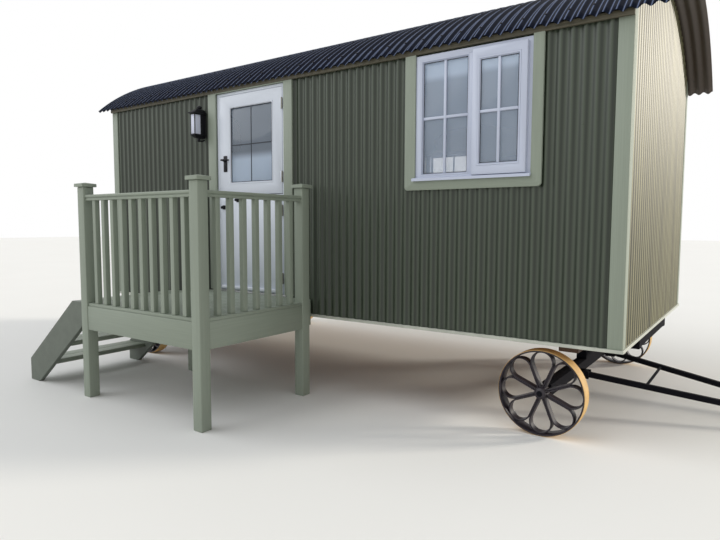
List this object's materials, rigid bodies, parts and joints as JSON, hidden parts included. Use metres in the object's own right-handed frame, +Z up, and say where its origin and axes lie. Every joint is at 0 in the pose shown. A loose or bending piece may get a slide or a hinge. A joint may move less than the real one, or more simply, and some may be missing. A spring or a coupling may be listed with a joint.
{
  "type": "shepherds hut",
  "caption": "Shepherds hut on cast iron wheels with an arched corrugated roof, a stable door, a towing drawbar, and an entrance deck with balustrades and steps.",
  "frame": {"origin": "on the ground, at the middle of everything the hut covers", "axes": "+X along the hut towards the drawbar, +Y from the entrance deck to the back wall, +Z up"},
  "size_m": [7.116, 4.089, 3.2831],
  "materials": {
    "floor_boards": "oiled",
    "wall_lining": "painted",
    "green_sheet": "satin",
    "sage_paint": "satin paint",
    "sage_metal": "satin",
    "stained_wood": "stained",
    "slate_sheet": "satin",
    "white_door": "satin",
    "threshold_metal": "brushed",
    "white_frame": "satin",
    "clear_glass": "clear",
    "hinge_steel": "brushed",
    "black_iron": "satin",
    "frosted_glass": "frosted",
    "chassis_steel": "matte",
    "bolster_wood": "weathered",
    "wheel_iron": "painted",
    "deck_paint": "satin paint",
    "deck_boards": "painted",
    "joist_wood": "treated"
  },
  "bodies": {
    "root": {"floor": "floor_boards", "front_wall_left": "wall_lining", "front_wall_over_door": "wall_lining", "front_wall_right": "wall_lining", "back_wall": "wall_lining", "left_end_wall": "wall_lining", "right_end_wall": "wall_lining", "front_cladding": "green_sheet", "back_cladding": "green_sheet", "left_end_cladding": "green_sheet", "right_end_cladding": "green_sheet", "corner_boards": "sage_paint", "door_surround": "sage_paint", "window_surround": "sage_paint", "back_window_surround": "sage_paint", "base_flashing": "sage_metal", "eaves_boards": "stained_wood", "roof_boards": "stained_wood", "roof_sheet": "slate_sheet", "door_frame": "white_door", "upper_door": "white_door", "door_threshold": "threshold_metal", "window_frame": "white_frame", "window_casement": "white_frame", "back_window_frame": "white_frame", "upper_door_glass": "clear_glass", "window_glass": "clear_glass", "back_window_glass": "clear_glass", "upper_hinges": "hinge_steel", "frame_hinges": "hinge_steel", "door_handle": "black_iron", "wall_lantern": "black_iron", "lantern_glass": "frosted_glass", "chassis_rails": "chassis_steel", "chassis_cross_members": "chassis_steel", "rear_axle": "chassis_steel", "turntable": "bolster_wood", "deck_posts": "deck_paint", "deck_fascia": "deck_paint", "front_balustrade": "deck_paint", "side_balustrade": "deck_paint", "step_stringers": "deck_paint", "deck_boards": "deck_boards", "step_treads": "deck_boards", "deck_joists": "joist_wood"},
    "lower_door": {"lower_door": "white_door", "lower_hinges": "hinge_steel", "lower_door_bolts": "black_iron"},
    "front_axle": {"front_axle": "chassis_steel"},
    "drawbar": {"drawbar": "chassis_steel"},
    "front_left_wheel": {"front_left_wheel": "wheel_iron"},
    "front_right_wheel": {"front_right_wheel": "wheel_iron"},
    "rear_left_wheel": {"rear_left_wheel": "wheel_iron"},
    "rear_right_wheel": {"rear_right_wheel": "wheel_iron"}
  },
  "joints": [
    {"name": "lower_door_hinge", "type": "hinge", "parent": "root", "child": "lower_door", "pos_m": [-0.738, -0.7505, 1.264], "axis": [0, 0, 1], "range_deg": [0, 100]},
    {"name": "steering_swivel", "type": "hinge", "parent": "root", "child": "front_axle", "pos_m": [1.593, 0.617, 0.451], "axis": [0, 0, 1], "range_deg": [-25, 25]},
    {"name": "drawbar_hinge", "type": "hinge", "parent": "front_axle", "child": "drawbar", "pos_m": [1.683, 0.617, 0.268], "axis": [0, -1, 0], "range_deg": [0, 25]},
    {"name": "front_left_wheel_spin", "type": "hinge", "parent": "front_axle", "child": "front_left_wheel", "pos_m": [1.593, 1.8955, 0.298], "axis": [0, 1, 0], "continuous": true},
    {"name": "front_right_wheel_spin", "type": "hinge", "parent": "front_axle", "child": "front_right_wheel", "pos_m": [1.593, -0.6615, 0.298], "axis": [0, 1, 0], "continuous": true},
    {"name": "rear_left_wheel_spin", "type": "hinge", "parent": "root", "child": "rear_left_wheel", "pos_m": [-2.837, 1.8955, 0.298], "axis": [0, 1, 0], "continuous": true},
    {"name": "rear_right_wheel_spin", "type": "hinge", "parent": "root", "child": "rear_right_wheel", "pos_m": [-2.837, -0.6615, 0.298], "axis": [0, 1, 0], "continuous": true}
  ]
}
